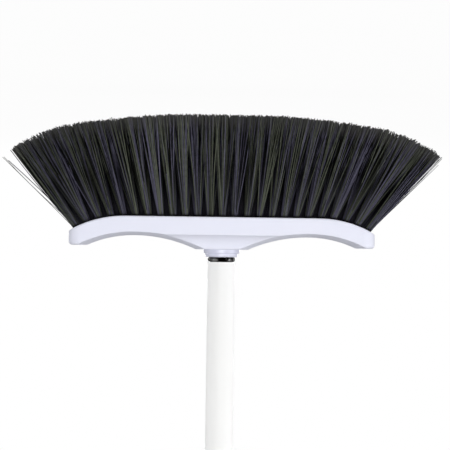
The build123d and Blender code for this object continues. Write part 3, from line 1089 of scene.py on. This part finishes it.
def bed_half_depth(x):
    """Half the plate's depth, drawn in where the block's corners are round."""
    beyond = max(0.0, abs(x) - BED_CORNER_X)
    return min(BED_HALF_DEPTH, BED_CORNER_Y + sqrt(BED_CORNER_RADIUS**2 - beyond**2))


def tuft_plate(name):
    points = []
    for i in range(BED_STATIONS + 1):
        run = BED_END_RUN * (2 * i / BED_STATIONS - 1)
        low_x, low_z, turn = face_point(run)
        high_x, high_z, turn = face_point(run, BED_DEPTH)
        half = bed_half_depth(low_x)
        points += [(low_x, -half, low_z), (low_x, half, low_z)]
        points += [(high_x, half, high_z), (high_x, -half, high_z)]
    first_end = tuple(reversed(range(STATION_POINTS)))
    last_end = tuple(range(len(points) - STATION_POINTS, len(points)))
    faces = [first_end, last_end]
    for start in range(0, len(points) - STATION_POINTS, STATION_POINTS):
        for n in range(STATION_POINTS):
            here = start + n
            beside = start + (n + 1) % STATION_POINTS
            faces.append((here, beside, beside + STATION_POINTS, here + STATION_POINTS))
    mesh = bpy.data.meshes.new(name)
    mesh.from_pydata(points, [], faces)
    mesh.validate()
    return new_object(name, mesh)


plate = tuft_plate("plate_blank")
print("plate blank has", len(plate.data.polygons), "faces")

# %% [markdown]
# ## Drill it
#
# One hole a tuft repeats almost a hundred times, so the drill is a Geometry Nodes tree too: a cylinder at
# every tuft, tilted with the face, and one boolean for them all. The holes don't go through the plate.

# %% Holes
BED_INPUTS = {
    "Geometry": "NodeSocketGeometry",
    "Plate": "NodeSocketObject",
    "Drill Radius": "NodeSocketFloat",
    "Drill Depth": "NodeSocketFloat",
    "Finish": "NodeSocketMaterial",
}
BED_SIZES = {"Plate": plate, "Drill Radius": 0.0029, "Drill Depth": 0.0033, "Finish": block_plastic}
DRILL_SIDES = 14


def drill_tree():
    tree, board, given = new_geometry_tree("drilled plate", BED_INPUTS)
    blank = board.node("GeometryNodeObjectInfo", {}, {"Object": given.out("Plate")}, "Geometry")
    length = given.out("Drill Depth") * 2
    cylinder = {"Vertices": DRILL_SIDES, "Radius": given.out("Drill Radius"), "Depth": length}
    drill = board.node("GeometryNodeMeshCylinder", {}, cylinder)
    tilt = stored(board, "tilt", "FLOAT_VECTOR")
    places = {"Points": given.out("Geometry"), "Instance": drill, "Rotation": tilt}
    drills = board.node("GeometryNodeInstanceOnPoints", {}, places)
    bits = board.node("GeometryNodeRealizeInstances", {}, {"Geometry": drills})
    meshes = {"Mesh 1": blank, "Mesh 2": bits}
    drilled = board.node("GeometryNodeMeshBoolean", {"operation": "DIFFERENCE"}, meshes)
    close_tree(board, given, drilled)
    return tree


tuft_places = [(face_point(run), y) for y, count in ROWS.values() for run in tuft_runs(count)]
all_tufts = bpy.data.meshes.new("all_tufts")
all_tufts.from_pydata([(x, y, z) for (x, z, turn), y in tuft_places], [], [])
point_attribute(all_tufts, "tilt", "FLOAT_VECTOR", [(0.0, -turn, 0.0) for (x, z, turn), y in tuft_places])
drill_guide = new_object("drill_guide", all_tufts)
bed = grown("tuft_face", drill_guide, drill_tree(), BED_SIZES)
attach(bed, "head")
for spare in (*guides.values(), plate, drill_guide):
    bpy.data.objects.remove(spare)

# %% [markdown]
# ## The floor
#
# The photograph is cut out on white. The floor is white to the camera, and in gloss, through Light Path, so
# the object isn't overlit to get a white ground, and near the broom it keeps a faint shade. The broom hangs
# by its cap, so the floor lies clear of the bristles by the way that the head travels as it unscrews.

# %% Floor
FLOOR_HALF = 6.0
FLOOR_CLEARANCE = 0.001
FLOOR_GREY = (0.86, 0.86, 0.86, 1.0)
WHITE = (1.0, 1.0, 1.0, 1.0)
WHITE_SHARE = 0.965
SHADE_FADES = (0.3, 0.9)

joints = frame["record"]["behaviour"]["joints"]
head_travel = max(joint["range_m"][1] for joint in joints if joint["type"] == "slide")


def shows_ground(board):
    """1 for a ray that shows the ground: from the camera, off a gloss or through something clear."""
    path = board.node("ShaderNodeLightPath", {}, {}, "Is Camera Ray")
    return (path + path.out("Is Glossy Ray") + path.out("Is Transmission Ray")).at_most(1.0)


def white_floor(name, z):
    material, board = new_finish(name)
    away = board.node("ShaderNodeVectorMath", {"operation": "LENGTH"}, {0: board.place()}, "Value")
    clean = board.level(board.between(away, *SHADE_FADES), WHITE_SHARE, 1.0)
    matt = board.node("ShaderNodeBsdfDiffuse", {}, {"Color": FLOOR_GREY})
    white = board.node("ShaderNodeEmission", {}, {"Color": WHITE, "Strength": 1.0})
    mixed = board.node("ShaderNodeMixShader", {}, {0: clean * shows_ground(board), 1: matt, 2: white})
    board.node("ShaderNodeOutputMaterial", {}, {"Surface": mixed})
    corners = [(-FLOOR_HALF, -FLOOR_HALF, z), (FLOOR_HALF, -FLOOR_HALF, z)]
    corners += [(FLOOR_HALF, FLOOR_HALF, z), (-FLOOR_HALF, FLOOR_HALF, z)]
    mesh = bpy.data.meshes.new(name)
    mesh.from_pydata(corners, [], [(0, 1, 2, 3)])
    mesh.materials.append(material)
    return new_object(name, mesh)


floor = white_floor("studio_floor", -head_travel - FLOOR_CLEARANCE)
print("floor", round(1000 * (head_travel + FLOOR_CLEARANCE), 1), "mm below the bristles")

# %% [markdown]
# ## The light
#
# The photograph's light is soft and comes from the front, more from one side than from the other, with some
# from all round. So there is a large lamp in front, one at each side, and a sky that brightens with height.
# An even dome of light would be simpler, but it fills the arches, which the photograph shows grey inside.
# For the same reason the lamp behind is only a low, thin strip, just enough that the back isn't black.

# %% World and lamps
HORIZON = 0.08
ZENITH = 0.38
LIT_PLACE = Vector((0.0, 0.0, 0.10))

# Each lamp's place, its width and height, and the level to which it lights the head
LAMPS = {
    "front_lamp": (Vector((0.0, -2.0, 0.30)), 0.8, 0.8, 0.60),
    "right_lamp": (Vector((-1.7, -0.9, 0.25)), 0.8, 0.8, 0.36),
    "left_lamp": (Vector((1.8, -0.3, 0.25)), 1.0, 1.0, 0.16),
    "back_lamp": (Vector((0.0, 2.0, 0.055)), 1.6, 0.09, 0.60),
}


def studio_world():
    world = bpy.data.worlds.new("studio")
    world.use_nodes = True
    world.node_tree.nodes.clear()
    board = Board(world.node_tree)
    direction = board.node("ShaderNodeTexCoord", {}, {}, "Generated")
    height = board.split(direction).out("Z").at_least(0.0)
    room = board.level(height, HORIZON, ZENITH)
    strength = board.level(shows_ground(board), room, 1.0)
    sky = board.node("ShaderNodeBackground", {}, {"Color": WHITE, "Strength": strength})
    board.node("ShaderNodeOutputWorld", {}, {"Surface": sky})
    bpy.context.scene.world = world


def soft_lamp(name, place, width, height, level):
    """An area lamp that lights a facing white surface to this level at the broom's head."""
    lamp = bpy.data.lights.new(name, "AREA")
    lamp.shape = "RECTANGLE"
    lamp.size = width
    lamp.size_y = height
    lamp.energy = level * pi**2 * (place - LIT_PLACE).length_squared
    holder = new_object(name, lamp)
    holder.location = place
    holder.rotation_euler = (LIT_PLACE - place).to_track_quat("-Z", "Y").to_euler()


studio_world()
for lamp_name, facts in LAMPS.items():
    soft_lamp(lamp_name, *facts)
bpy.context.scene.view_settings.view_transform = "Standard"
print(len(LAMPS), "lamps set, and the sky rises from", HORIZON, "to", ZENITH)

# %% [markdown]
# ## The camera
#
# The photograph shows the bristles up and the handle down, which is this frame upside down. The solids have
# to stay where they are, so it is the camera that turns: it stands level with the block, rolled by half a
# turn. The handle's 22.2 mm across 27.5 pixels sets the scale, and places measured along the block and the
# collar set the aim and the roll.

# %% Camera
CAMERA_PLACE = Vector((0.015, -0.900, 0.098))
CAMERA_AIM = Vector((-0.00244, 0.0, 0.08595))
CAMERA_ROLL = radians(180.8)
IMAGE_HALF_PX = 225.0
FOCAL_PX = 1118.0

camera = bpy.data.cameras.new("camera")
camera.lens = camera.sensor_width / 2 * FOCAL_PX / IMAGE_HALF_PX
stand = new_object("camera", camera)
stand.location = CAMERA_PLACE
aimed = (CAMERA_AIM - CAMERA_PLACE).to_track_quat("-Z", "Y")
stand.rotation_mode = "QUATERNION"
stand.rotation_quaternion = aimed @ Quaternion((0.0, 0.0, 1.0), CAMERA_ROLL)
bpy.context.scene.camera = stand
print("lens", round(camera.lens, 1), "mm")
